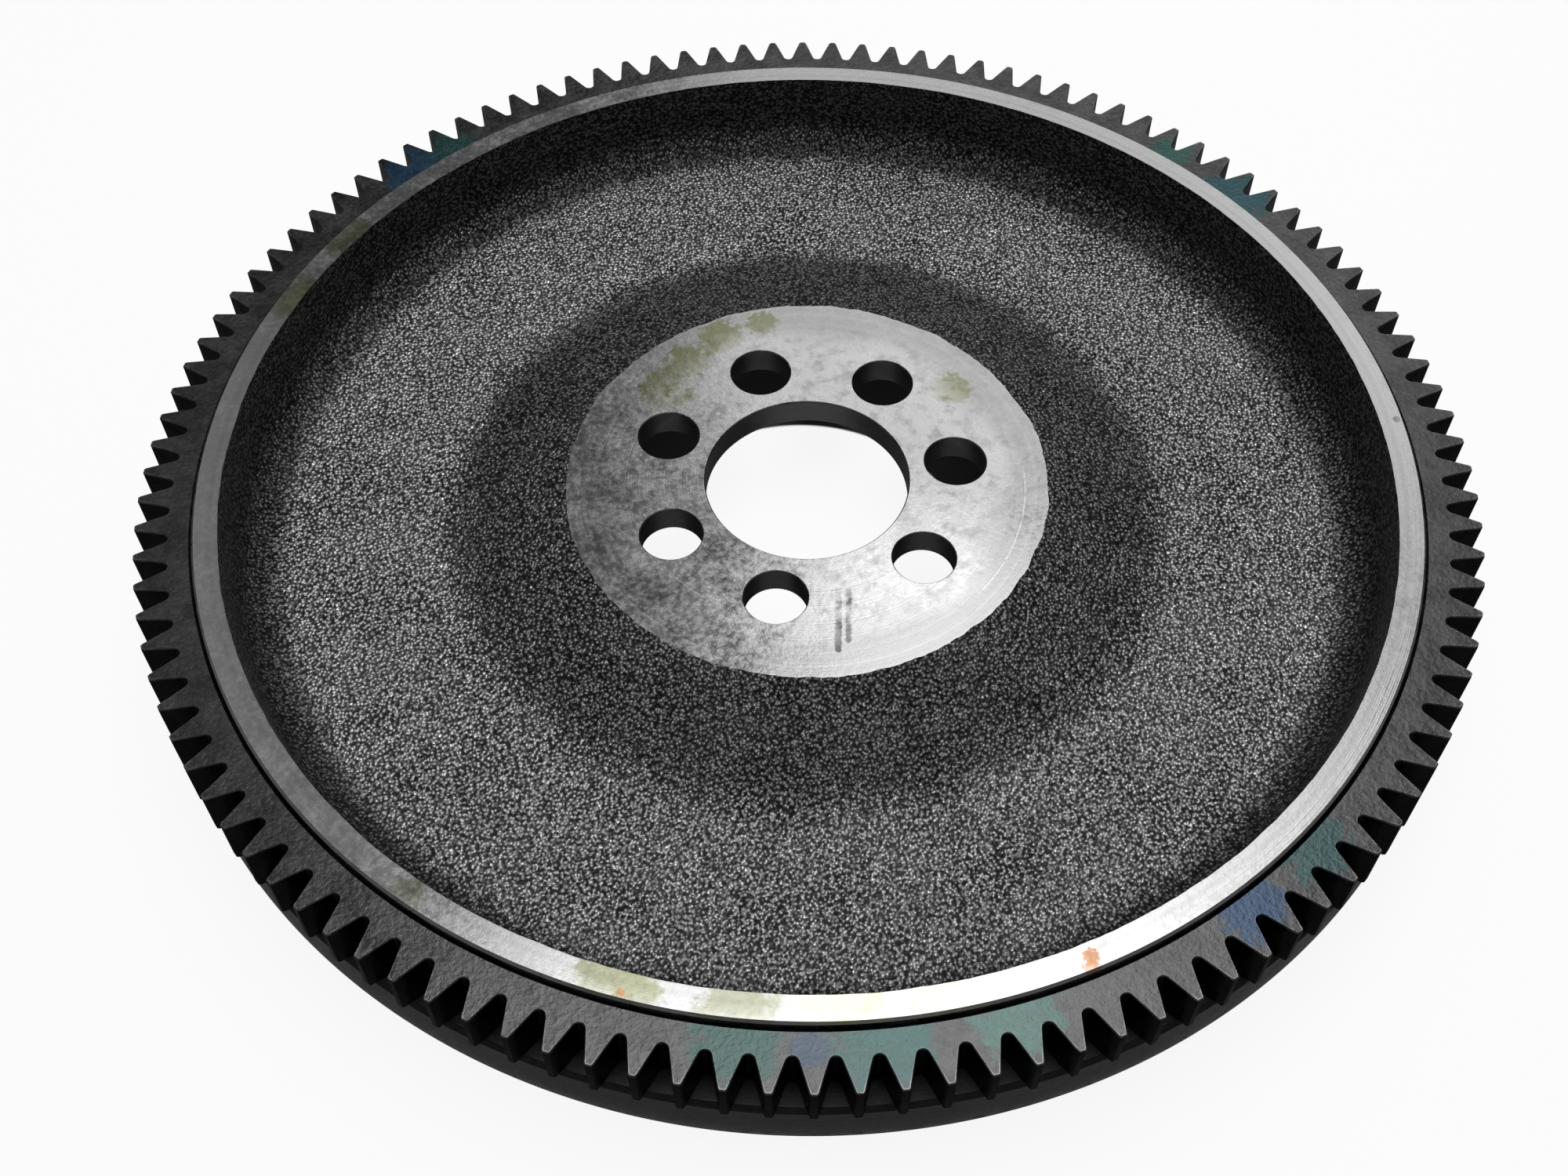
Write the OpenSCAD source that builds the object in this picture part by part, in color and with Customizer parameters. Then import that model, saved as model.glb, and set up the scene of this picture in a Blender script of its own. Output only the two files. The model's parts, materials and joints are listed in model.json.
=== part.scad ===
// Engine flywheel: a cast-iron body with a shrunk-on starter ring gear and three clutch dowels.
// Origin: centre of the crank register, on the crank mating face. +Z points to the crankshaft.

/* [Rim] */
// Diameter of the turned seat that the ring gear is shrunk on
rim_seat_d = 260; // [220:1:320]
// Width of the machined land on the crank side of the rim
land_w = 5.4; // [4:0.1:9]
// Height of the land above the crank mating face
land_h = 8.9; // [5:0.1:12]
// Depth of the dish, from the land down to the web
dish_depth = 18.5; // [15:0.5:22.5]
// Draft of the cast wall inside the rim, in degrees
rim_draft = 7; // [2:0.5:12]
// Fillet between the web and the cast wall
rim_fillet = 9; // [3:0.5:12]
// Chamfer on the outer edge of the land
land_chamfer = 0.5; // [0.2:0.1:1]

/* [Hub] */
// Diameter of the machined crank mating face
hub_d = 105; // [96:1:126]
// Thickness of the plate that the crank bolts clamp
hub_plate_t = 6.5; // [5:0.5:9]
// Diameter of the circle where the cone from the hub runs out into the web
cone_foot_d = 160; // [145:1:180]
// Blend radius at the foot of the cone
cone_blend = 16; // [4:1:24]
// Diameter of the bore that centres the flywheel on the crankshaft
register_d = 44.5; // [36:0.5:50]
// Metal between the register bore and a crank bolt hole
crank_wall = 4; // [2.5:0.1:6]
// Clearance hole for one crank bolt
crank_hole_d = 13.5; // [10.5:0.5:14]
// Number of crank bolts
crank_bolts = 7; // [5:1:7]
// Angle from one crank bolt to the next; the gap that is left over is wider, so it fits one way
crank_step = 50; // [45:0.5:51]

/* [Clutch side] */
// Thickness of the friction plate under the web
friction_t = 9; // [7.5:0.5:14]
// Inner diameter of the friction face
friction_id = 148; // [140:1:160]
// Distance from the circle of cover bolts in to the edge of the friction face
friction_edge = 10; // [8:0.5:14]
// Width of the sloping step from the friction face to the seat of the clutch cover
friction_step_w = 1.5; // [0.5:0.1:3]
// How much wider the recess floor is than the crank face, measured on the radius
recess_margin = 1.5; // [0:0.1:4]
// Blend radius around the recess floor
recess_blend = 4; // [1:0.5:8]

/* [Clutch flange] */
// How far the flange stands out beyond the ring gear seat
flange_w = 10.8; // [9:0.1:14]
// Thickness of the flange behind the ring gear
flange_t = 12.5; // [10.5:0.5:18]
// Chamfer on both edges of the flange
flange_chamfer = 1; // [0.5:0.1:2]
// Distance of the cover bolts and dowels outside the ring gear seat
cover_offset = 2; // [1:0.1:4]
// Number of cover bolts
cover_bolts = 6; // [3:3:6]
// Tapping drill of a cover bolt hole
cover_tap_d = 6.8; // [5:0.1:8.5]
// Metal left between the point of a drilled hole and the ring gear
cover_tap_skin = 1.5; // [1:0.1:3]
// Angle of a drill point
drill_point = 118; // [90:1:140]

/* [Dowels] */
// Diameter of a dowel that centres the clutch cover
dowel_d = 8; // [6:0.5:10]
// Length of a dowel pressed into the flange
dowel_in = 8; // [6:0.5:9]
// Length of a dowel that stands out of the cover seat
dowel_out = 6; // [4:0.5:8]
// Chamfer on both ends of a dowel
dowel_chamfer = 0.8; // [0.4:0.1:1.2]
// Width of the relief groove where a dowel leaves the seat, so that the cover lies flat
dowel_relief_w = 0.6; // [0.3:0.1:1]
// Depth of that groove
dowel_relief = 0.25; // [0.1:0.05:0.4]
// Gap between a dowel and its hole, measured on the radius
dowel_gap = 0; // [0:0.01:0.05]
// Spare depth of a dowel hole behind its dowel
dowel_spare = 0.5; // [0.2:0.1:1]

/* [Ring gear] */
// Width of the ring gear across its teeth
gear_w = 11.5; // [9:0.5:14]
// Radial thickness of the ring gear under its teeth
gear_back = 5.2; // [4:0.1:9]
// Module of the starter teeth, the pitch diameter for each tooth
tooth_module = 2.434; // [2:0.001:3]
// Height of a tooth above the pitch circle
tooth_addendum = 3.35; // [2.5:0.05:3.5]
// Depth of a gap below the pitch circle
tooth_dedendum = 3.55; // [2.8:0.05:3.6]
// Angle of a tooth flank from the middle line of its gap, in degrees
flank_angle = 19; // [16:0.5:20]
// Share of the pitch circle that the gaps take
gap_share = 0.53; // [0.5:0.01:0.55]
// How far the ring gear sits below the land
gear_drop = 1.5; // [0.5:0.1:4]
// Lead-in chamfer in the bore of the ring gear, on the crank side
gear_bore_chamfer = 0.8; // [0.3:0.1:1.5]
// Gap between the ring gear's bore and its seat, measured on the radius
gear_gap = 0; // [0:0.01:0.05]
// Angle of one tooth's middle line from +X, in degrees
gear_phase = -0.81; // [-2:0.01:2]

/* [Hidden] */
$fn = 180;

// Heights, from the crank side to the clutch side
web_z = land_h - dish_depth;
gear_top_z = land_h - gear_drop;
shoulder_z = gear_top_z - gear_w;
seat_z = shoulder_z - flange_t;
friction_z = web_z - friction_t;
floor_z = -hub_plate_t;

// Radii of the body
register_r = register_d / 2;
crank_pitch_r = register_r + crank_wall + crank_hole_d / 2;
hub_r = hub_d / 2;
recess_r = hub_r + recess_margin;
friction_in_r = friction_id / 2;
cone_foot_r = cone_foot_d / 2;
rim_r = rim_seat_d / 2;
land_in_r = rim_r - land_w;
wall_foot_r = land_in_r - dish_depth * tan(rim_draft);
cover_pitch_r = rim_r + cover_offset;
friction_out_r = cover_pitch_r - friction_edge;
flange_r = rim_r + flange_w;

// Ring gear
gear_bore_r = rim_r + gear_gap;
root_r = rim_r + gear_back;
pitch_r = root_r + tooth_dedendum;
tip_r = pitch_r + tooth_addendum;
teeth = round(2 * pitch_r / tooth_module);
gap_half = PI * pitch_r / teeth * gap_share;
gap_root_r = (gap_half * cos(flank_angle) - tooth_dedendum * sin(flank_angle)) / (1 - sin(flank_angle));

// Cover bolts lie every 60 degrees from +X, and the dowels lie midway between two bolts
dowels = 3;
dowel_first = 180 / cover_bolts;
cut = 1;

function unit(v) = v / norm(v);
function drill_tip(d) = d / 2 / tan(drill_point / 2);

// The sliver between an outline's corner and an arc that touches both of its sides
module corner_blend(corner, side_a, side_b, r) {
    a = unit(side_a - corner);
    b = unit(side_b - corner);
    half = acos(a * b) / 2;
    reach = r / tan(half);
    centre = corner + unit(a + b) * r / sin(half);
    difference() {
        polygon([corner, corner + a * reach, centre, corner + b * reach]);
        translate(centre) circle(r);
    }
}

// Half section of the cast body, as X = radius and Y = height
module body_section() {
    hub_edge = [hub_r, 0];
    cone_foot = [cone_foot_r, web_z];
    wall_foot = [wall_foot_r, web_z];
    land_edge = [land_in_r, land_h];
    recess_edge = [recess_r, floor_z];
    friction_in = [friction_in_r, friction_z];
    floor_in = [register_r, floor_z];
    polygon([
        [register_r, 0], hub_edge, cone_foot, wall_foot, land_edge,
        [rim_r - land_chamfer, land_h], [rim_r, land_h - land_chamfer],
        [rim_r, shoulder_z],
        [flange_r - flange_chamfer, shoulder_z], [flange_r, shoulder_z - flange_chamfer],
        [flange_r, seat_z + flange_chamfer], [flange_r - flange_chamfer, seat_z],
        [friction_out_r + friction_step_w, seat_z], [friction_out_r, friction_z],
        friction_in, recess_edge, floor_in
    ]);
    corner_blend(cone_foot, hub_edge, wall_foot, cone_blend);
    corner_blend(wall_foot, cone_foot, land_edge, rim_fillet);
    corner_blend(recess_edge, friction_in, floor_in, recess_blend);
}

module crank_holes() {
    for (i = [0 : crank_bolts - 1])
        rotate(90 + (i - (crank_bolts - 1) / 2) * crank_step)
            translate([crank_pitch_r, 0, floor_z - cut])
                cylinder(d = crank_hole_d, h = hub_plate_t + 2 * cut);
}

// A drilled hole in the cover seat: its full-diameter depth and the drill point behind it
module drilled_hole(d, depth) {
    translate([cover_pitch_r, 0, seat_z - cut]) cylinder(d = d, h = depth + cut);
    translate([cover_pitch_r, 0, seat_z + depth]) cylinder(d1 = d, d2 = 0, h = drill_tip(d));
}

module cover_holes() {
    depth = flange_t - cover_tap_skin - drill_tip(cover_tap_d);
    for (i = [0 : cover_bolts - 1])
        rotate(i * 360 / cover_bolts) drilled_hole(cover_tap_d, depth);
}

module dowel_holes() {
    for (i = [0 : dowels - 1])
        rotate(dowel_first + i * 360 / dowels)
            drilled_hole(dowel_d + 2 * dowel_gap, dowel_in + dowel_spare);
}

module flywheel_body() {
    color("dimgray")
        difference() {
            rotate_extrude() body_section();
            crank_holes();
            cover_holes();
            dowel_holes();
        }
}

// One gap between two teeth: a round root and two straight flanks that open past the tips
module tooth_gap() {
    root_y = root_r + gap_root_r;
    mouth_y = tip_r + cut;
    mouth_x = gap_half + (mouth_y - pitch_r) * tan(flank_angle);
    foot = gap_root_r * [cos(flank_angle), -sin(flank_angle)];
    translate([root_y, 0]) circle(gap_root_r);
    polygon([
        [root_y + foot.y, foot.x], [mouth_y, mouth_x],
        [mouth_y, -mouth_x], [root_y + foot.y, -foot.x], [root_y, 0]
    ]);
}

module ring_gear() {
    color("darkslategray")
        difference() {
            translate([0, 0, shoulder_z])
                linear_extrude(gear_w)
                    difference() {
                        circle(tip_r);
                        circle(gear_bore_r);
                        for (i = [0 : teeth - 1])
                            rotate(gear_phase + (i + 0.5) * 360 / teeth) tooth_gap();
                    }
            translate([0, 0, gear_top_z - gear_bore_chamfer])
                cylinder(r1 = gear_bore_r, r2 = gear_bore_r + gear_bore_chamfer + cut, h = gear_bore_chamfer + cut);
        }
}

module clutch_dowel(i) {
    dowel_r = dowel_d / 2;
    end_r = dowel_r - dowel_chamfer;
    neck_r = dowel_r - dowel_relief;
    color("silver")
        rotate(dowel_first + i * 360 / dowels)
            translate([cover_pitch_r, 0, seat_z])
                rotate_extrude()
                    polygon([
                        [0, -dowel_out], [end_r, -dowel_out],
                        [dowel_r, dowel_chamfer - dowel_out], [dowel_r, -dowel_relief_w],
                        [neck_r, -dowel_relief_w], [neck_r, 0],
                        [dowel_r, 0], [dowel_r, dowel_in - dowel_chamfer],
                        [end_r, dowel_in], [0, dowel_in]
                    ]);
}

flywheel_body();
ring_gear();
clutch_dowel(0);  // clutch_dowel_1
clutch_dowel(1);  // clutch_dowel_2
clutch_dowel(2);  // clutch_dowel_3
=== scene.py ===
import json
import math

import bpy
import numpy as np
from mathutils import Matrix, Quaternion, Vector
from mathutils.geometry import delaunay_2d_cdt


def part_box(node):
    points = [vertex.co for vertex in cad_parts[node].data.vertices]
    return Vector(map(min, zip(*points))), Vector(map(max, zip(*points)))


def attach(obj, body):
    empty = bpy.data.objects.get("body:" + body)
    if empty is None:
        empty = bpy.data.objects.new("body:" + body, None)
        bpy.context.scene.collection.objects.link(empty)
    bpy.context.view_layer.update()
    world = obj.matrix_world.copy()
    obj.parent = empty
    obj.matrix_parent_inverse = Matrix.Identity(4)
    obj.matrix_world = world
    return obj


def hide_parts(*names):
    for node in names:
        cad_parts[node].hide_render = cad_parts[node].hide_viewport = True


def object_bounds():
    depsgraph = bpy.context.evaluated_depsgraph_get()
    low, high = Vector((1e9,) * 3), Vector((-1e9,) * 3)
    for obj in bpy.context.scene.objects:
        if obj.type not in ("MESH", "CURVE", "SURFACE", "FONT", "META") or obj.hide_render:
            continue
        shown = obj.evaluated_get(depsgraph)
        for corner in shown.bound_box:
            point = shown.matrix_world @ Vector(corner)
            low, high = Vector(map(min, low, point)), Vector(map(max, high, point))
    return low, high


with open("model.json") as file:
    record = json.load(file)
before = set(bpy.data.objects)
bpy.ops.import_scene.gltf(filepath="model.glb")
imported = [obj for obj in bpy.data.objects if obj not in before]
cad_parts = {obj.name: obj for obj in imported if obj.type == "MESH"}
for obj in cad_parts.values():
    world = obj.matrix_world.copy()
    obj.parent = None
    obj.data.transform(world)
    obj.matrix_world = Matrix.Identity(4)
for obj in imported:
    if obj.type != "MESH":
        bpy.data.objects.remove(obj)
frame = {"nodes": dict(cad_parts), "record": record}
cadLow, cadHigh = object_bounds()
print("frame loaded:", sorted(frame["nodes"]))

mm = 0.001
fullTurn = 2 * math.pi
bodyLow, bodyHigh = (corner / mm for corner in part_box("flywheel_body"))
gearLow, gearHigh = (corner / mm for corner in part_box("ring_gear"))
dowelLow, dowelHigh = (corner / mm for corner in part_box("clutch_dowel_1"))
mounts = {mount["name"]: mount for mount in frame["record"]["mounts"]}


# Outlines: half sections are lists of (radius, height) points in millimetres

def cornerArc(before, corner, after, radius, steps):
    a = (Vector(before) - Vector(corner)).normalized()
    b = (Vector(after) - Vector(corner)).normalized()
    half = math.acos(a.dot(b)) / 2
    centre = Vector(corner) + (a + b).normalized() * radius / math.sin(half)
    spoke = Vector(corner) + a * radius / math.tan(half) - centre
    side = -1 if a.cross(b) > 0 else 1
    turn = side * (math.pi - 2 * half)
    return [centre + Matrix.Rotation(turn * i / steps, 2) @ spoke for i in range(steps + 1)]


def evenSteps(path, count):
    path = np.array([tuple(point) for point in path])
    run = np.concatenate([[0], np.cumsum(np.linalg.norm(np.diff(path, axis=0), axis=1))])
    wanted = np.linspace(0, run[-1], count + 1)
    return [(np.interp(w, run, path[:, 0]), np.interp(w, run, path[:, 1])) for w in wanted]


class Shell:  # a closed skin of rings, with a finish, a rubbed-edge mark and a casting direction
    def __init__(self):
        self.points = []
        self.rubbed = []
        self.casting = []
        self.faces = []
        self.finishes = []

    def ring(self, radius, z, count, centre=(0, 0), rubbed=0.0, casting=(0, 0)):
        first = len(self.points)
        for i in range(count):
            angle = fullTurn * i / count
            across, along = math.cos(angle), math.sin(angle)
            r = radius(angle) if callable(radius) else radius
            self.points.append((centre[0] + r * across, centre[1] + r * along, z))
            self.rubbed.append(rubbed)
            self.casting.append((casting[0] * across, casting[0] * along, casting[1]))
        return list(range(first, first + count))

    def join(self, a, b, finish):
        for i in range(len(a)):
            j = (i + 1) % len(a)
            self.faces.append((a[i], b[i], b[j], a[j]))
            self.finishes.append(finish)

    def close(self, a, height, finish, centre=(0, 0), up=False):
        tip = len(self.points)
        self.points.append((*centre, height))
        self.rubbed.append(0.0)
        self.casting.append((0, 0, 0))
        for i in range(len(a)):
            j = (i + 1) % len(a)
            self.faces.append((a[i], a[j], tip) if up else (a[i], tip, a[j]))
            self.finishes.append(finish)

    def cover(self, outer, inners, finish, up=True):  # a flat face with round openings
        loops = [outer, *inners]
        order = [k for loop in loops for k in loop]
        owner = [n for n, loop in enumerate(loops) for k in loop]
        edges = []
        for loop in loops:
            first = len(edges)
            edges += [(first + i, first + (i + 1) % len(loop)) for i in range(len(loop))]
        spots = [Vector(self.points[k][:2]) for k in order]
        made, _, triangles, source, _, _ = delaunay_2d_cdt(spots, edges, [], 0, 1e-6)
        for triangle in triangles:
            corners = [source[k][0] for k in triangle]
            owners = {owner[k] for k in corners}
            if len(owners) == 1 and owners != {0}:
                continue  # inside an opening
            a, b, c = (made[k] for k in triangle)
            if ((b - a).cross(c - a) > 0) != up:
                corners.reverse()
            self.faces.append(tuple(order[k] for k in corners))
            self.finishes.append(finish)

    def toObject(self, name):
        mesh = bpy.data.meshes.new(name)
        mesh.from_pydata([Vector(p) * mm for p in self.points], [], self.faces)
        mesh.attributes.new("rubbed", "FLOAT", "POINT").data.foreach_set("value", self.rubbed)
        casting = np.array(self.casting, np.float32).ravel()
        mesh.attributes.new("casting", "FLOAT_VECTOR", "POINT").data.foreach_set("vector", casting)
        mesh.attributes.new("finish", "INT", "FACE").data.foreach_set("value", self.finishes)
        piece = bpy.data.objects.new(name, mesh)
        bpy.context.scene.collection.objects.link(piece)
        return piece


# Node trees: shader groups, materials and geometry trees are all made with these

def addNode(tree, kind, inputs=None, **settings):
    node = tree.nodes.new(kind)
    for name, value in settings.items():
        setattr(node, name, value)
    for key, value in (inputs or {}).items():
        if isinstance(value, bpy.types.NodeSocket):
            tree.links.new(value, node.inputs[key])
        else:
            node.inputs[key].default_value = value
    return node


def maths(tree, operation, a, b=0.0, clamp=False):
    kind = "ShaderNodeMath"
    return addNode(tree, kind, {0: a, 1: b}, operation=operation, use_clamp=clamp).outputs[0]


def vectorMaths(tree, operation, a, b=(0, 0, 0), output="Vector"):
    second = "Scale" if operation == "SCALE" else 1
    inputs = {0: a, second: b}
    return addNode(tree, "ShaderNodeVectorMath", inputs, operation=operation).outputs[output]


def weighted(tree, *shares):  # the sum of some values, each times its share
    total = None
    for value, share in shares:
        part = maths(tree, "MULTIPLY", value, share)
        total = part if total is None else maths(tree, "ADD", total, part)
    return total


def aroundAxis(tree, place):  # the place brought down to z = 0, and its distance from the axis
    flat = vectorMaths(tree, "MULTIPLY", place, (1, 1, 0))
    return flat, vectorMaths(tree, "LENGTH", flat, output="Value")


def remap(tree, value, low, high, toLow=0.0, toHigh=1.0):
    inputs = {"Value": value, "From Min": low, "From Max": high, "To Min": toLow, "To Max": toHigh}
    return addNode(tree, "ShaderNodeMapRange", inputs, interpolation_type="SMOOTHSTEP").outputs[0]


def noise(tree, place, size, seed=0.0, detail=3.0, rough=0.55):
    scale = maths(tree, "DIVIDE", 1.0, size)
    inputs = {"Vector": place, "W": seed, "Scale": scale, "Detail": detail, "Roughness": rough}
    return addNode(tree, "ShaderNodeTexNoise", inputs, noise_dimensions="4D").outputs[0]


def blend(tree, share, a, b, how="MIX"):
    inputs = {0: share, 6: a, 7: b}
    node = addNode(tree, "ShaderNodeMix", inputs, data_type="RGBA", blend_type=how)
    return node.outputs[2]


def grey(value):
    return (value, value, value, 1)


def newGroup(name, kind, inputs, outputs):
    tree = bpy.data.node_groups.new(name, kind)
    for label, (socketType, value) in inputs.items():
        socket = tree.interface.new_socket(label, in_out="INPUT", socket_type=socketType)
        if value is not None:
            socket.default_value = value
    for label, socketType in outputs.items():
        tree.interface.new_socket(label, in_out="OUTPUT", socket_type=socketType)
    start = tree.nodes.new("NodeGroupInput")
    end = tree.nodes.new("NodeGroupOutput")
    return tree, start.outputs, end.inputs


number, arrow = "NodeSocketFloat", "NodeSocketVector"


def makeSandGrain():
    tree, given, result = newGroup("sandGrain", "ShaderNodeTree", {
        "Vector": (arrow, None), "Grain Size": (number, 0.001), "Seed": (number, 0.0),
    }, {"Height": number, "Glint": number, "Tone": number})
    fine = noise(tree, given["Vector"], given["Grain Size"], given["Seed"], 2.0, 0.6)
    coarseSize = maths(tree, "MULTIPLY", given["Grain Size"], 2.6)
    coarse = noise(tree, given["Vector"], coarseSize, given["Seed"], 2.0, 0.5)
    scale = maths(tree, "DIVIDE", 0.9, given["Grain Size"])
    cell = addNode(tree, "ShaderNodeTexVoronoi", {"Vector": given["Vector"], "Scale": scale})
    pebble = maths(tree, "SUBTRACT", 1.0, cell.outputs["Distance"])
    height = weighted(tree, (fine, 0.5), (coarse, 0.5), (pebble, 0.8))
    tree.links.new(height, result["Height"])
    pick = addNode(tree, "ShaderNodeSeparateColor", {0: cell.outputs["Color"]}).outputs[0]
    # painted glints: a few grains are given a light colour where they would catch the light
    chosen = remap(tree, pick, 0.80, 0.98)  # only some grains catch the light
    paintedGlint = maths(tree, "MULTIPLY", chosen, remap(tree, fine, 0.45, 0.65))
    tree.links.new(paintedGlint, result["Glint"])
    crown = weighted(tree, (fine, 0.6), (pebble, 0.4))  # crevices dark, crowns light
    tree.links.new(remap(tree, crown, 0.42, 0.66), result["Tone"])
    return tree


def makeTurningMarks():
    tree, given, result = newGroup("turningMarks", "ShaderNodeTree", {
        "Vector": (arrow, None), "Pitch": (number, 0.0005), "Seed": (number, 0.0),
    }, {"Height": number, "Tone": number})
    _, radius = aroundAxis(tree, given["Vector"])
    height = addNode(tree, "ShaderNodeSeparateXYZ", {0: given["Vector"]}).outputs[2]
    wander = noise(tree, given["Vector"], 0.03, given["Seed"], 1.0)
    across = weighted(tree, (radius, 1.0), (height, 1.0), (wander, 0.0006))
    for label, widening in (("Height", 1.0), ("Tone", 5.0)):  # tone bands are wider than marks
        scale = maths(tree, "DIVIDE", 1.0 / widening, given["Pitch"])
        steps = maths(tree, "ADD", maths(tree, "MULTIPLY", across, scale), given["Seed"])
        inputs = {"W": steps, "Scale": 1.0, "Detail": 2.0, "Roughness": 0.6}
        lines = addNode(tree, "ShaderNodeTexNoise", inputs, noise_dimensions="1D").outputs[0]
        tree.links.new(lines, result[label])
    return tree


def makeStainSpot():
    tree, given, result = newGroup("stainSpot", "ShaderNodeTree", {
        "Vector": (arrow, None), "Centre": (arrow, None), "Size": (number, 0.01),
        "Ragged": (number, 0.5), "Ragged Size": (number, 0.003), "Seed": (number, 0.0),
    }, {"Mask": number})
    away = vectorMaths(tree, "DISTANCE", given["Vector"], given["Centre"], "Value")
    away = maths(tree, "DIVIDE", away, given["Size"])
    edge = noise(tree, given["Vector"], given["Ragged Size"], given["Seed"], 3.0)
    edge = maths(tree, "MULTIPLY", maths(tree, "SUBTRACT", edge, 0.5), given["Ragged"])
    near = maths(tree, "ADD", away, maths(tree, "MULTIPLY", edge, 3.0))
    tree.links.new(remap(tree, near, 1.0, 0.65), result["Mask"])
    return tree


def makeBlotches():
    tree, given, result = newGroup("blotches", "ShaderNodeTree", {
        "Vector": (arrow, None), "Size": (number, 0.01), "Low": (number, 0.35),
        "High": (number, 0.65), "Seed": (number, 0.0),
    }, {"Mask": number})
    cloud = noise(tree, given["Vector"], given["Size"], given["Seed"], 4.0, 0.6)
    tree.links.new(remap(tree, cloud, given["Low"], given["High"]), result["Mask"])
    return tree


def makeEdgeWear():
    tree, given, result = newGroup("edgeWear", "ShaderNodeTree", {
        "Vector": (arrow, None), "Amount": (number, 1.0), "Break Size": (number, 0.002),
        "Seed": (number, 0.0),
    }, {"Mask": number})
    edge = addNode(tree, "ShaderNodeAttribute", attribute_name="rubbed").outputs["Fac"]
    gaps = noise(tree, given["Vector"], given["Break Size"], given["Seed"], 3.0)
    worn = maths(tree, "MULTIPLY", remap(tree, edge, 0.25, 0.9), remap(tree, gaps, 0.30, 0.55))
    tree.links.new(maths(tree, "MULTIPLY", worn, given["Amount"], True), result["Mask"])
    return tree


def makeSmudgeStroke():
    tree, given, result = newGroup("smudgeStroke", "ShaderNodeTree", {
        "Vector": (arrow, None), "Start": (arrow, None), "End": (arrow, None),
        "Width": (number, 0.001), "Seed": (number, 0.0),
    }, {"Mask": number})
    run = vectorMaths(tree, "SUBTRACT", given["End"], given["Start"])
    away = vectorMaths(tree, "SUBTRACT", given["Vector"], given["Start"])
    along = vectorMaths(tree, "DOT_PRODUCT", away, run, "Value")
    length = vectorMaths(tree, "DOT_PRODUCT", run, run, "Value")
    share = maths(tree, "DIVIDE", along, length, True)
    nearest = vectorMaths(tree, "ADD", given["Start"], vectorMaths(tree, "SCALE", run, share))
    reach = vectorMaths(tree, "DISTANCE", given["Vector"], nearest, "Value")
    reach = maths(tree, "DIVIDE", reach, given["Width"])
    ragged = noise(tree, given["Vector"], given["Width"], given["Seed"], 2.0)
    reach = maths(tree, "ADD", reach, maths(tree, "MULTIPLY", ragged, 1.2))
    tree.links.new(remap(tree, reach, 1.6, 1.1), result["Mask"])
    return tree


def makeArcScratch():
    tree, given, result = newGroup("arcScratch", "ShaderNodeTree", {
        "Vector": (arrow, None), "Middle": (arrow, None), "Radius": (number, 0.04),
        "Width": (number, 0.0004), "Cosine": (number, 0.9), "Seed": (number, 0.0),
    }, {"Mask": number})
    flat, radius = aroundAxis(tree, given["Vector"])
    off = maths(tree, "ABSOLUTE", maths(tree, "SUBTRACT", radius, given["Radius"]))
    line = remap(tree, maths(tree, "DIVIDE", off, given["Width"]), 1.0, 0.3)
    facing = vectorMaths(tree, "DOT_PRODUCT", flat, given["Middle"], "Value")
    facing = maths(tree, "DIVIDE", facing, radius)
    fullFrom = maths(tree, "ADD", given["Cosine"], 0.03)  # the ends fade out
    span = remap(tree, facing, given["Cosine"], fullFrom)
    breaks = remap(tree, noise(tree, given["Vector"], 0.002, given["Seed"], 2.0), 0.35, 0.5)
    mask = maths(tree, "MULTIPLY", line, maths(tree, "MULTIPLY", span, breaks))
    tree.links.new(mask, result["Mask"])
    return tree


sandGrain = makeSandGrain()
turningMarks = makeTurningMarks()
stainSpot = makeStainSpot()
blotches = makeBlotches()
edgeWear = makeEdgeWear()
smudgeStroke = makeSmudgeStroke()
arcScratch = makeArcScratch()
print("shader groups made")


# Materials

def startMaterial(name, metallic, edgeTint=1.0):
    material = bpy.data.materials.new(name)
    material.use_nodes = True
    tree = material.node_tree
    shader = tree.nodes["Principled BSDF"]
    shader.inputs["Metallic"].default_value = metallic
    shader.inputs["Specular Tint"].default_value = grey(edgeTint)
    place = addNode(tree, "ShaderNodeTexCoord").outputs["Object"]
    return material, tree, shader, place


def useGroup(tree, group, **values):
    node = tree.nodes.new("ShaderNodeGroup")
    node.node_tree = group
    for label, value in values.items():
        socket = node.inputs[label.replace("_", " ")]
        if isinstance(value, bpy.types.NodeSocket):
            tree.links.new(value, socket)
        else:
            socket.default_value = value
    return node.outputs


def setBump(tree, shader, height, depth, strength=1.0):
    inputs = {"Height": height, "Distance": depth, "Strength": strength}
    tree.links.new(addNode(tree, "ShaderNodeBump", inputs).outputs[0], shader.inputs["Normal"])


def turnedSheen(tree, shader, amount):  # circular tool marks spread a highlight across themselves
    shader.inputs["Anisotropic"].default_value = amount
    shader.inputs["Anisotropic Rotation"].default_value = 0.25
    tangent = addNode(tree, "ShaderNodeTangent", direction_type="RADIAL", axis="Z").outputs[0]
    tree.links.new(tangent, shader.inputs["Tangent"])


def polar(radius, degrees, height):
    angle = math.radians(degrees)
    return (radius * math.cos(angle) * mm, radius * math.sin(angle) * mm, height * mm)


def addStains(tree, place, base, spots, height):
    for n, (radius, degrees, size, share, tone) in enumerate(spots):
        mask = useGroup(tree, stainSpot, Vector=place, Centre=polar(radius, degrees, height),
                        Size=size * mm, Ragged_Size=size * 0.3 * mm, Seed=3.1 * n)["Mask"]
        base = blend(tree, maths(tree, "MULTIPLY", mask, share), base, tone)
    return base


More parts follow.
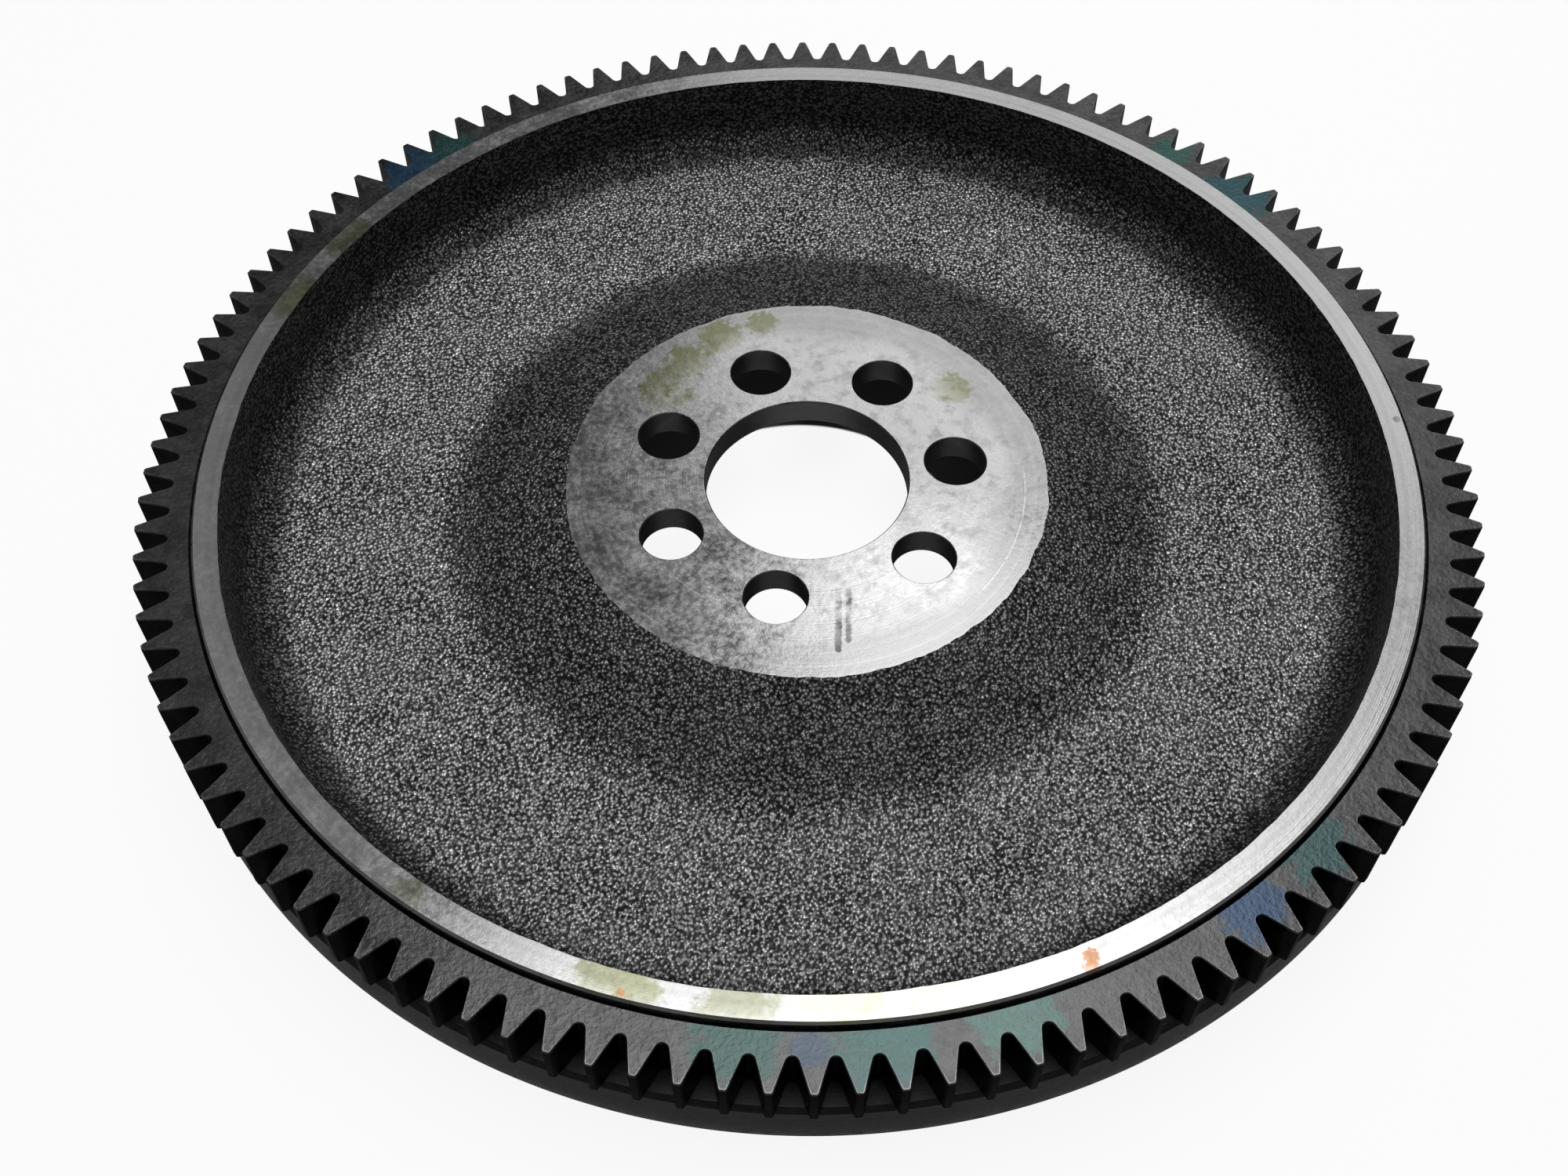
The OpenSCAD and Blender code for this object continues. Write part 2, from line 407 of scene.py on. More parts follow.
def addStrokes(tree, place, base, strokes):
    for n, (start, end, width, share, tone) in enumerate(strokes):
        mask = useGroup(tree, smudgeStroke, Vector=place, Start=polar(*start, 0),
                        End=polar(*end, 0), Width=width * mm, Seed=2.7 * n)["Mask"]
        base = blend(tree, maths(tree, "MULTIPLY", mask, share), base, tone)
    return base


def addScratches(tree, place, base, scratches):
    for n, (radius, middle, half, width, share, tone) in enumerate(scratches):
        towards = tuple(part / mm for part in polar(1, middle, 0))
        cosine = math.cos(math.radians(half))
        mask = useGroup(tree, arcScratch, Vector=place, Middle=towards, Radius=radius * mm,
                        Width=width * mm, Cosine=cosine, Seed=1.9 * n)["Mask"]
        base = blend(tree, maths(tree, "MULTIPLY", mask, share), base, tone)
    return base


def addWear(tree, place, base, wear, seed):
    amount, breakSize, tone = wear
    mask = useGroup(tree, edgeWear, Vector=place, Amount=amount, Break_Size=breakSize, Seed=seed)
    return blend(tree, mask["Mask"], base, grey(tone))


def addBlotches(tree, place, size, low, high, seed):
    return useGroup(tree, blotches, Vector=place, Size=size, Low=low, High=high, Seed=seed)["Mask"]


castLook = dict(
    grainSize=0.75 * mm, grainDepth=0.55 * mm, metallic=0.7, roughness=0.36,
    dark=0.035, light=0.84, paintedGlint=1.0,
    # painted shade: the cone and the wall are darker than the web
    coneShade=0.40, coneFrom=72 * mm, coneTo=84 * mm,
    wallShade=0.22, wallFrom=112 * mm, wallTo=119 * mm,
)


def makeCastIron():
    look = castLook
    material, tree, shader, place = startMaterial("castIron", look["metallic"])
    grain = useGroup(tree, sandGrain, Vector=place, Grain_Size=look["grainSize"], Seed=1.7)
    cloud = addBlotches(tree, place, 14 * mm, 0.3, 0.75, 4.0)
    base = blend(tree, grain["Tone"], grey(look["dark"]), grey(look["light"]))
    base = blend(tree, maths(tree, "MULTIPLY", cloud, 0.15), base, grey(look["light"]))
    # painted glints: those grains are lightened towards white
    base = blend(tree, grain["Glint"], base, grey(look["paintedGlint"]))
    _, radius = aroundAxis(tree, place)
    # painted shade on the cone and on the wall by the rim
    paintedConeShade = remap(tree, radius, look["coneFrom"], look["coneTo"], look["coneShade"], 1.0)
    paintedWallShade = remap(tree, radius, look["wallFrom"], look["wallTo"], 1.0, look["wallShade"])
    base = blend(tree, 1.0, base, maths(tree, "MULTIPLY", paintedWallShade, paintedConeShade), "MULTIPLY")
    tree.links.new(base, shader.inputs["Base Color"])
    gloss = weighted(tree, (look["roughness"], 1.0), (grain["Glint"], -0.2), (cloud, -0.06))
    tree.links.new(gloss, shader.inputs["Roughness"])
    setBump(tree, shader, grain["Height"], look["grainDepth"])
    return material


olive = (0.23, 0.24, 0.10, 1)
paleYellow = (0.62, 0.63, 0.42, 1)
rust = (0.42, 0.17, 0.05, 1)
turnedWear = (0.6, 3 * mm, 0.75)  # amount, size of the breaks in it, tone
hubLook = dict(
    pitch=0.45 * mm, markDepth=0.012 * mm, roughness=0.165, sheen=0.5, dark=0.33, light=0.58,
    wear=turnedWear,
    # stains: radius, angle and size, then share and colour
    stains=[(41, 122, 7.5, 0.85, olive), (44, 109, 6.5, 0.8, olive), (47, 96, 6.0, 0.75, olive),
            (48, 84, 4.5, 0.7, olive), (42, 20, 5.5, 0.75, olive)],
    # strokes: start and end as radius and angle, width, share, colour
    strokes=[((31.3, 263.4), (46, 259.3), 0.9, 0.85, grey(0.04)),
             ((31.8, 267.2), (44, 262.4), 0.8, 0.8, grey(0.05))],
    # scratches: radius, middle angle, half angle, width, share, colour
    scratches=[(38, 217, 17, 0.30, 0.7, grey(0.85)), (38.9, 221, 12, 0.2, 0.5, grey(0.85)),
               (47.5, 322, 24, 0.22, 0.4, grey(0.9)), (29, 150, 30, 0.2, 0.4, grey(0.8)),
               (49.5, 190, 40, 0.25, 0.4, grey(0.15))],
)
landLook = dict(
    pitch=0.35 * mm, markDepth=0.010 * mm, roughness=0.19, sheen=0.5, dark=0.40, light=0.64,
    wear=turnedWear,
    stains=[(128, 236, 9.0, 0.7, olive), (128, 246, 8.0, 0.6, olive), (127, 140, 8.0, 0.7, olive),
            (127, 130, 8.0, 0.7, olive), (128, 217, 4.0, 0.5, olive),
            (128, 254, 9.0, 0.8, paleYellow), (128, 262, 8.0, 0.6, paleYellow),
            (127.3, 274.5, 1.8, 0.8, rust), (129.2, 274.1, 1.9, 0.9, rust),
            (128.4, 345.7, 1.0, 0.7, grey(0.1)), (128.5, 236.7, 0.9, 0.8, rust)],
)
wallLook = dict(
    pitch=0.6 * mm, markDepth=0.02 * mm, roughness=0.42, sheen=0.0, dark=0.03, light=0.08,
    edgeTint=0.5, wear=turnedWear,
)
frictionLook = dict(
    pitch=0.5 * mm, markDepth=0.012 * mm, roughness=0.30, sheen=0.5, dark=0.34, light=0.52,
    wear=turnedWear,
)
flangeLook = dict(
    pitch=0.5 * mm, markDepth=0.02 * mm, roughness=0.36, sheen=0.0, dark=0.05, light=0.11,
    wear=turnedWear,
)


def makeTurnedIron(name, look, height):
    material, tree, shader, place = startMaterial(name, 1.0, look.get("edgeTint", 1.0))
    marks = useGroup(tree, turningMarks, Vector=place, Pitch=look["pitch"], Seed=2.3)
    cloud = addBlotches(tree, place, 9 * mm, 0.35, 0.65, 8.0)
    speck = addBlotches(tree, place, 1.1 * mm, 0.35, 0.7, 5.0)
    tone = weighted(tree, (marks["Tone"], 0.5), (speck, 0.35), (cloud, 0.25))
    base = blend(tree, tone, grey(look["dark"]), grey(look["light"]))
    base = addStains(tree, place, base, look.get("stains", []), height)
    base = addStrokes(tree, place, base, look.get("strokes", []))
    base = addScratches(tree, place, base, look.get("scratches", []))
    base = addWear(tree, place, base, look["wear"], 1.0)
    tree.links.new(base, shader.inputs["Base Color"])
    gloss = weighted(tree, (look["roughness"] - 0.04, 1.0), (speck, 0.12), (cloud, 0.08))
    tree.links.new(gloss, shader.inputs["Roughness"])
    bumps = weighted(tree, (marks["Height"], 1.0), (speck, 0.6))
    setBump(tree, shader, bumps, look["markDepth"])
    turnedSheen(tree, shader, look["sheen"])
    return material


oxideLook = dict(
    roughness=0.29, sheen=0.5, edgeTint=0.5, dark=0.075, light=0.160, speckDepth=0.03 * mm,
    flank=0.2,  # painted shade: the sides of the teeth are this much darker than the faces
    wear=(0.75, 1.6 * mm, 0.34),
    # heat tints: radius, angle and size, then share and colour
    tints=[
        (134, 246, 9.0, 0.6, (0.06, 0.13, 0.12, 1)), (134, 257, 10.0, 0.6, (0.07, 0.15, 0.14, 1)),
        (134, 267, 9.0, 0.55, (0.10, 0.19, 0.17, 1)),
        (134, 251.5, 4.0, 0.35, (0.05, 0.10, 0.17, 1)),
        (133, 288, 8.0, 0.6, (0.05, 0.10, 0.19, 1)), (133, 296, 8.0, 0.6, (0.05, 0.13, 0.13, 1)),
        (133, 118, 9.0, 0.8, (0.05, 0.13, 0.24, 1)), (133, 113, 7.0, 0.75, (0.06, 0.18, 0.18, 1)),
        (133.5, 20, 9.0, 0.7, (0.04, 0.13, 0.15, 1)), (134, 29, 6.0, 0.7, (0.05, 0.15, 0.13, 1)),
    ],
)


def makeBlackOxide():
    look = oxideLook
    material, tree, shader, place = startMaterial("blackOxide", 1.0, look["edgeTint"])
    cloud = addBlotches(tree, place, 5 * mm, 0.3, 0.7, 3.0)
    speck = addBlotches(tree, place, 0.9 * mm, 0.35, 0.7, 6.0)
    tone = weighted(tree, (cloud, 0.6), (speck, 0.4))
    base = blend(tree, tone, grey(look["dark"]), grey(look["light"]))
    base = addStains(tree, place, base, look["tints"], gearHigh.z)
    normal = addNode(tree, "ShaderNodeNewGeometry").outputs["Normal"]
    upward = addNode(tree, "ShaderNodeSeparateXYZ", {0: normal}).outputs[2]
    # painted shade: upright faces, the sides and tips of the teeth, are darkened
    facing = remap(tree, maths(tree, "ABSOLUTE", upward), 0.3, 0.8, look["flank"], 1.0)
    base = blend(tree, 1.0, base, facing, "MULTIPLY")
    base = addWear(tree, place, base, look["wear"], 7.0)
    tree.links.new(base, shader.inputs["Base Color"])
    gloss = weighted(tree, (look["roughness"] - 0.06, 1.0), (tone, 0.14))
    tree.links.new(gloss, shader.inputs["Roughness"])
    setBump(tree, shader, maths(tree, "ADD", speck, cloud), look["speckDepth"])
    turnedSheen(tree, shader, look["sheen"])
    return material


steelLook = dict(
    pitch=0.4 * mm, markDepth=0.006 * mm, roughness=0.2, dark=0.42, light=0.60,
    wear=(0.7, 1 * mm, 0.78),
)


def makeGroundSteel():
    look = steelLook
    material, tree, shader, place = startMaterial("groundSteel", 1.0)
    marks = useGroup(tree, turningMarks, Vector=place, Pitch=look["pitch"], Seed=9.0)
    cloud = addBlotches(tree, place, 2 * mm, 0.35, 0.7, 2.0)
    base = blend(tree, cloud, grey(look["dark"]), grey(look["light"]))
    base = addWear(tree, place, base, look["wear"], 4.0)
    tree.links.new(base, shader.inputs["Base Color"])
    gloss = weighted(tree, (look["roughness"], 1.0), (cloud, 0.12))
    tree.links.new(gloss, shader.inputs["Roughness"])
    setBump(tree, shader, marks["Height"], look["markDepth"])
    return material


castIron = makeCastIron()
hubIron = makeTurnedIron("turnedHubFace", hubLook, 0.0)
landIron = makeTurnedIron("turnedLand", landLook, bodyHigh.z)
wallIron = makeTurnedIron("boredWalls", wallLook, 0.0)
frictionIron = makeTurnedIron("groundFrictionFace", frictionLook, bodyLow.z)
flangeIron = makeTurnedIron("turnedFlange", flangeLook, 0.0)
blackOxide = makeBlackOxide()
groundSteel = makeGroundSteel()
bodyFinishes = [castIron, hubIron, landIron, wallIron, frictionIron, flangeIron]
asCast, onHub, onLand, inHole, onFriction, onFlange = range(len(bodyFinishes))
print("materials made")


# Cast body

bodySize = dict(
    coneFoot=80, coneBlend=16, hubRadius=52.5, dishDepth=18.5, rimDraft=7, rimFillet=9,
    landWidth=5.4, landChamfer=0.5, gearSeat=130, flangeChamfer=1, chamferKnee=(0.3, 0.6),
    flangeThickness=12.5, frictionOut=122, frictionIn=74, stepWidth=1.5, edgeBreak=0.25,
    stepBreak=(0.4, 0.35), recessBreak=(0.5, 0.1, 0.4), recessRadius=54, recessBlend=4,
    crankHoles=7, crankStep=50, coverHoles=6, coverSkin=1.5, drillPoint=118,
    threadPitch=1.25, threadDepth=0.55, threadForm=0.42, threadLeadIn=0.5, threadRunOut=0.6,
    mouthSpare=0.3, dowels=3, dowelSpare=0.5, dowelClearance=0.005,
    castTurns=720, castRows=88, recessRows=22, coneRows=12, filletRows=16, blendRows=8,
    turns=360, boreTurns=144, holeTurns=48, threadTurns=28, threadRows=5,
)


# heights and radii that the frame gives
landZ, frictionZ, shoulderZ = bodyHigh.z, bodyLow.z, gearLow.z
webZ = landZ - bodySize["dishDepth"]
seatZ = shoulderZ - bodySize["flangeThickness"]
floorZ = -mounts["crank_register"]["dims"]["length_mm"]
registerR = mounts["crank_register"]["dims"]["r_mm"]
holeR = mounts["crank_bolt_single"]["dims"]["r_mm"]
coverR = mounts["cover_bolts"]["dims"]["pcd_mm"] / 2
tapR = mounts["cover_bolts"]["dims"]["hole_r_mm"]
dowelR = (dowelHigh.x - dowelLow.x) / 2
flangeR = bodyHigh.x


def onCircle(radius, angle):
    return (radius * math.cos(angle), radius * math.sin(angle))


def crankHoleCentres():
    pitch = mounts["crank_bolt_single"]["pos_m"][1] / mm
    count, step = bodySize["crankHoles"], bodySize["crankStep"]
    return [onCircle(pitch, math.radians(90 + (i - count // 2) * step)) for i in range(count)]


def dowelAngle(i):  # a quarter of a step round from +X
    return fullTurn * (i + 0.25) / bodySize["dowels"]


def castDish(shell):  # from the hub's edge over the cone and the web to the land
    s = bodySize
    landIn = s["gearSeat"] - s["landWidth"]
    wallFoot = landIn - s["dishDepth"] * math.tan(math.radians(s["rimDraft"]))
    hubEdge, coneFoot = (s["hubRadius"], 0), (s["coneFoot"], webZ)
    rimFoot, landEdge = (wallFoot, webZ), (landIn, landZ)
    path = [hubEdge]
    path += cornerArc(hubEdge, coneFoot, rimFoot, s["coneBlend"], s["coneRows"])
    path += cornerArc(coneFoot, rimFoot, landEdge, s["rimFillet"], s["filletRows"])
    path += [landEdge]
    stations = evenSteps(path, s["castRows"])
    rings = []
    for k, (r, z) in enumerate(stations):
        before, after = stations[max(k - 1, 0)], stations[min(k + 1, s["castRows"])]
        run = Vector((after[0] - before[0], after[1] - before[1])).normalized()
        out = (-run.y, run.x)
        if k in (0, s["castRows"]):  # a turned plane cuts the rough skin here
            out = (1 / out[0], 0)
        rings.append(shell.ring(r, z, s["castTurns"], casting=out))
    for a, b in zip(rings, rings[1:]):
        shell.join(a, b, asCast)
    return rings[0], rings[-1]


def turnedRim(shell, dishEdge):  # land, gear seat and flange, down to the cover seat
    s = bodySize
    last = shell.ring(s["gearSeat"] - s["landChamfer"], landZ, s["turns"], rubbed=0.6)
    shell.cover(last, [dishEdge], onLand)
    kneeIn, kneeDown = s["chamferKnee"]  # a point on the chamfer, which bows out a little
    chamfer = s["flangeChamfer"]
    section = [
        (s["gearSeat"], landZ - s["landChamfer"], onLand, 0.6),
        (s["gearSeat"], shoulderZ, inHole, 0),
        (flangeR - chamfer, shoulderZ, inHole, 0),
        (flangeR - kneeIn, shoulderZ - kneeDown, inHole, 0),
        (flangeR, shoulderZ - chamfer, inHole, 0),
        (flangeR, (shoulderZ + seatZ) / 2, onFlange, 0),
        (flangeR, seatZ + chamfer, onFlange, 0.6),
        (flangeR - kneeIn, seatZ + chamfer - kneeDown, onFlange, 1),
        (flangeR - chamfer, seatZ, onFlange, 0.4),
    ]
    for r, z, finish, rubbed in section:
        ring = shell.ring(r, z, s["turns"], rubbed=rubbed)
        shell.join(last, ring, finish)
        last = ring
    return last


def drillTip(radius):  # how far a drill's point reaches past its full width
    return radius / math.tan(math.radians(bodySize["drillPoint"] / 2))


def tappedHole(shell, angle):
    s = bodySize
    spot = onCircle(coverR, angle)
    depth = s["flangeThickness"] - s["coverSkin"] - drillTip(tapR)
    rows = round(depth / s["threadPitch"] * s["threadRows"])
    mouthR = tapR + s["threadDepth"] + s["mouthSpare"]
    mouth = last = shell.ring(mouthR, seatZ, s["threadTurns"], spot, rubbed=1)
    for k in range(rows + 1):
        up = s["threadLeadIn"] + (depth - s["threadLeadIn"]) * k / rows

        def threaded(turn, up=up):
            phase = (up / s["threadPitch"] - turn / fullTurn) % 1
            groove = max(0, 1 - abs(phase - 0.5) / s["threadForm"])
            fade = min(1, max(0, (depth - up - s["threadRunOut"]) / s["threadPitch"]))
            return tapR + s["threadDepth"] * groove * fade

        ring = shell.ring(threaded, seatZ + up, s["threadTurns"], spot)
        shell.join(last, ring, inHole)
        last = ring
    shell.close(last, seatZ + depth + drillTip(tapR), inHole, spot)
    return mouth


def dowelHole(shell, angle):
    s = bodySize
    spot = onCircle(coverR, angle)
    wallR, topZ = dowelR + s["dowelClearance"], dowelHigh.z + s["dowelSpare"]
    mouth = shell.ring(dowelR + s["edgeBreak"], seatZ, s["holeTurns"], spot, rubbed=1)
    low = shell.ring(wallR, seatZ + s["edgeBreak"], s["holeTurns"], spot)
    top = shell.ring(wallR, topZ, s["holeTurns"], spot)
    shell.join(mouth, low, inHole)
    shell.join(low, top, inHole)
    shell.close(top, topZ + drillTip(dowelR), inHole, spot)
    return mouth


def clutchSide(shell, seatIn):  # the friction face and the recess inside it, down to its floor
    s = bodySize
    stepIn, stepUp = s["stepBreak"]
    edgeIn, edgeOut, edgeUp = s["recessBreak"]
    frictionIn = (s["frictionIn"] - edgeOut, frictionZ + edgeUp)
    turned = [
        (s["frictionOut"] + s["edgeBreak"], frictionZ + stepUp, 0.6),
        (s["frictionOut"] - stepIn, frictionZ, 0.6),
        (s["frictionIn"] + edgeIn, frictionZ, 0.8), (*frictionIn, 0.6),
    ]
    last = seatIn
    for r, z, rubbed in turned:
        ring = shell.ring(r, z, s["turns"], rubbed=rubbed)
        shell.join(last, ring, onFriction)
        last = ring
    recessEdge, inner = (s["recessRadius"], floorZ), (registerR, floorZ)
    path = [frictionIn]
    path += cornerArc(frictionIn, recessEdge, inner, s["recessBlend"], s["blendRows"])
    stations = evenSteps(path, s["recessRows"])
    for k, (r, z) in enumerate(stations[1:], 1):
        before = stations[k - 1]
        run = Vector((r - before[0], z - before[1])).normalized()
        out = (-run.y, run.x) if k < s["recessRows"] else (0, 0)
        ring = shell.ring(r, z, s["turns"], casting=out)
        shell.join(last, ring, asCast)
        last = ring
    return last


def throughHoles(shell):  # the register bore and the crank holes, from the floor to the hub face
    s = bodySize
    broken = s["edgeBreak"]
    floorMouths, faceMouths = [], []
    through = [(registerR, s["boreTurns"], (0, 0), onFlange)]
    through += [(holeR, s["holeTurns"], spot, inHole) for spot in crankHoleCentres()]
    for radius, count, spot, finish in through:
        levels = [(radius + broken, floorZ, 1), (radius, floorZ + broken, 0.3),
                  (radius, -broken, 0.3), (radius + broken, 0, 1)]
        hole = [shell.ring(r, z, count, spot, rubbed=rubbed) for r, z, rubbed in levels]
        for a, b in zip(hole, hole[1:]):
            shell.join(a, b, finish)
        floorMouths.append(hole[0])
        faceMouths.append(hole[-1])
    return floorMouths, faceMouths


def buildFlywheelBody():
    s = bodySize
    shell = Shell()
    hubEdge, dishEdge = castDish(shell)
    seatOut = turnedRim(shell, dishEdge)
    seatIn = shell.ring(s["frictionOut"] + s["stepWidth"], seatZ, s["turns"], rubbed=0.3)
    mouths = [tappedHole(shell, fullTurn * i / s["coverHoles"]) for i in range(s["coverHoles"])]
    mouths += [dowelHole(shell, dowelAngle(i)) for i in range(s["dowels"])]
    shell.cover(seatOut, [seatIn, *mouths], onFriction, up=False)
    floorOut = clutchSide(shell, seatIn)
    floorMouths, faceMouths = throughHoles(shell)
    shell.cover(floorOut, floorMouths, onFlange, up=False)
    shell.cover(hubEdge, faceMouths, onHub)
    return shell.toObject("flywheelBody")


# Rough cast skin: three sizes of noise push the skin along its casting direction

castSkin = {
    "Wave Size": 16 * mm, "Wave Height": 0.50 * mm,
    "Lump Size": 4.2 * mm, "Lump Height": 0.32 * mm,
    "Grain Size": 1.9 * mm, "Grain Height": 0.22 * mm, "Seed": 11.0,
}


def castSkinTree():
    inputs = {"Geometry": ("NodeSocketGeometry", None)}
    inputs.update({label: (number, value) for label, value in castSkin.items()})
    outputs = {"Geometry": "NodeSocketGeometry"}
    tree, given, result = newGroup("castSkin", "GeometryNodeTree", inputs, outputs)
    place = addNode(tree, "GeometryNodeInputPosition").outputs[0]
    push = None
    for n, label in enumerate(("Wave", "Lump", "Grain")):
        seed = maths(tree, "ADD", given["Seed"], 7.0 * n)
        relief = noise(tree, place, given[label + " Size"], seed, 2.0)
        relief = maths(tree, "SUBTRACT", relief, 0.5)
        relief = maths(tree, "MULTIPLY", relief, given[label + " Height"])
        push = relief if push is None else maths(tree, "ADD", push, relief)
    stored = "GeometryNodeInputNamedAttribute"
    casting = addNode(tree, stored, {"Name": "casting"}, data_type="FLOAT_VECTOR").outputs[0]
    finish = addNode(tree, stored, {"Name": "finish"}, data_type="INT").outputs[0]
    offset = vectorMaths(tree, "SCALE", casting, push)
    inputs = {"Geometry": given["Geometry"], "Offset": offset}
    moved = addNode(tree, "GeometryNodeSetPosition", inputs).outputs[0]
    last = addNode(tree, "GeometryNodeRealizeInstances", {"Geometry": moved}).outputs[0]
    for n, material in enumerate(bodyFinishes):
        inputs = {2: finish, 3: n}
        match = addNode(tree, "FunctionNodeCompare", inputs, data_type="INT", operation="EQUAL")
        inputs = {"Geometry": last, "Selection": match.outputs[0], "Material": material}
        last = addNode(tree, "GeometryNodeSetMaterial", inputs).outputs[0]
    tree.links.new(last, result["Geometry"])
    return tree


def growWith(piece, tree, values):
    modifier = piece.modifiers.new(tree.name, "NODES")
    modifier.node_group = tree
    for item in tree.interface.items_tree:
        if item.item_type == "SOCKET" and item.in_out == "INPUT" and item.name in values:
            modifier[item.identifier] = values[item.name]
    graph = bpy.context.evaluated_depsgraph_get()
    grown = piece.evaluated_get(graph)
    mesh = bpy.data.meshes.new_from_object(grown, preserve_all_data_layers=True, depsgraph=graph)
    piece.modifiers.clear()
    piece.data = mesh
    mesh.name = piece.name
    return mesh


def sharpen(mesh, degrees):  # edges are sharp past this angle, and where two finishes meet
    mesh.shade_smooth()
    mesh.set_sharp_from_angle(angle=math.radians(degrees))
    edgeOfLoop = np.empty(len(mesh.loops), np.int32)
    mesh.loops.foreach_get("edge_index", edgeOfLoop)
    sizes = np.empty(len(mesh.polygons), np.int32)
    mesh.polygons.foreach_get("loop_total", sizes)
    finish = np.empty(len(mesh.polygons), np.int32)
    mesh.polygons.foreach_get("material_index", finish)
    finishOfLoop = np.repeat(finish, sizes)
    low = np.full(len(mesh.edges), len(bodyFinishes), np.int32)
    high = np.full(len(mesh.edges), -1, np.int32)
    np.minimum.at(low, edgeOfLoop, finishOfLoop)
    np.maximum.at(high, edgeOfLoop, finishOfLoop)
    marks = mesh.attributes.get("sharp_edge")
    marks = marks or mesh.attributes.new("sharp_edge", "BOOLEAN", "EDGE")
    sharp = np.empty(len(mesh.edges), bool)
    marks.data.foreach_get("value", sharp)
    marks.data.foreach_set("value", sharp | (low != high))


flywheelBody = buildFlywheelBody()
print("body shell:", len(flywheelBody.data.vertices), "points")
bodyMesh = growWith(flywheelBody, castSkinTree(), castSkin)
sharpen(bodyMesh, 34)
print("cast skin grown:", len(bodyMesh.polygons), "faces")


# Ring gear: one tooth with its share of the ring, copied round by a geometry tree

gearSize = dict(
    teeth=114, firstTooth=-0.81, bore=130, back=5.2, addendum=3.35, dedendum=3.55,
    flankAngle=19, gapShare=0.53, tipRound=0.18, boreChamfer=0.8, edgeBreak=0.22,
    cornerRound=0.55, wornBand=(0.3, 0.35), weld=0.02 * mm,
)


def toothOutline():
    s = gearSize
    rootR = s["bore"] + s["back"]
    pitchR = rootR + s["dedendum"]
    tipR = pitchR + s["addendum"]
    slope = math.radians(s["flankAngle"])
    gapHalf = math.pi * pitchR / s["teeth"] * s["gapShare"]
    arcR = (gapHalf * math.cos(slope) - s["dedendum"] * math.sin(slope)) / (1 - math.sin(slope))
    middle = rootR + arcR
    gap = []
    for k in range(4):  # from the bottom of the gap round to the flank
        turn = (math.pi / 2 - slope) * k / 3
        gap.append((middle - arcR * math.cos(turn), arcR * math.sin(turn)))
    for share, spread in ((0.5, 0), (0.93, 0), (1.0, s["tipRound"])):  # up the flank to the tip
        y = gap[3][0] + (tipR - gap[3][0]) * share
        gap.append((y, gapHalf + (y - pitchR) * math.tan(slope) + spread))
    halfPitch = math.pi / s["teeth"]
    side = [(math.hypot(y, x), math.atan2(x, y) - halfPitch) for y, x in gap]
    side[-1] = (tipR, side[-1][1])
    side[0] = (rootR, -halfPitch)
    tip = [(tipR, 0.0)]
    return side + tip + [(r, -a) for r, a in reversed(side)]


def buildTooth():
    s = gearSize
    outline = toothOutline()
    low, high = gearLow.z, gearHigh.z
    n = len(outline)
    step = fullTurn / s["teeth"]
    even = [(-0.5 + k / (n - 1)) * step for k in range(n)]

    def arc(radius):
        return [Vector((math.cos(a), math.sin(a))) * radius for a in even]

    def inset(amount):
        points = [Vector((r * math.cos(a), r * math.sin(a))) for r, a in outline]
        moved = []
        for k, point in enumerate(points):
            before, after = points[max(k - 1, 0)], points[min(k + 1, n - 1)]
            run = (after - before).normalized()
            if k in (0, n - 1):
                run = Vector((-point.y, point.x)).normalized()
            inward = Vector((-run.y, run.x))
            moved.append(point + inward * amount)
        return moved

    broken, rounded, chamfer = s["edgeBreak"], s["cornerRound"], s["boreChamfer"]
    wornDown, wornIn = s["wornBand"]
    rows = [  # an outline, its height and how rubbed it is, from the bore round to the bore
        (arc(s["bore"]), low, 0),
        (inset(rounded), low, 0.3),
        (inset(rounded * 0.3), low + rounded * 0.3, 0.8),
        (inset(0), low + rounded, 0),
        (inset(0), high - broken - wornDown, 0),
        (inset(0), high - broken, 0.7),
        (inset(broken), high, 1.0),
        (inset(broken + wornIn), high, 0),
        (arc(s["bore"] + chamfer), high, 0.3),
        (arc(s["bore"]), high - chamfer, 0.2),
    ]
    points, faces, rubbed = [], [], []
    for line, z, worn in rows:
        for k, point in enumerate(line):
            points.append((point.x * mm, point.y * mm, z * mm))
            atTip = 1.0 if abs(k - (n - 1) / 2) < 3 else 0.55
            rubbed.append(worn * atTip)
    for j in range(len(rows)):
        below, above = j * n, (j + 1) % len(rows) * n
        for k in range(n - 1):
            faces.append((below + k, below + k + 1, above + k + 1, above + k))
    mesh = bpy.data.meshes.new("starterRingGear")
    mesh.from_pydata(points, [], faces)
    mesh.attributes.new("rubbed", "FLOAT", "POINT").data.foreach_set("value", rubbed)
    piece = bpy.data.objects.new("starterRingGear", mesh)
    bpy.context.scene.collection.objects.link(piece)
    return piece


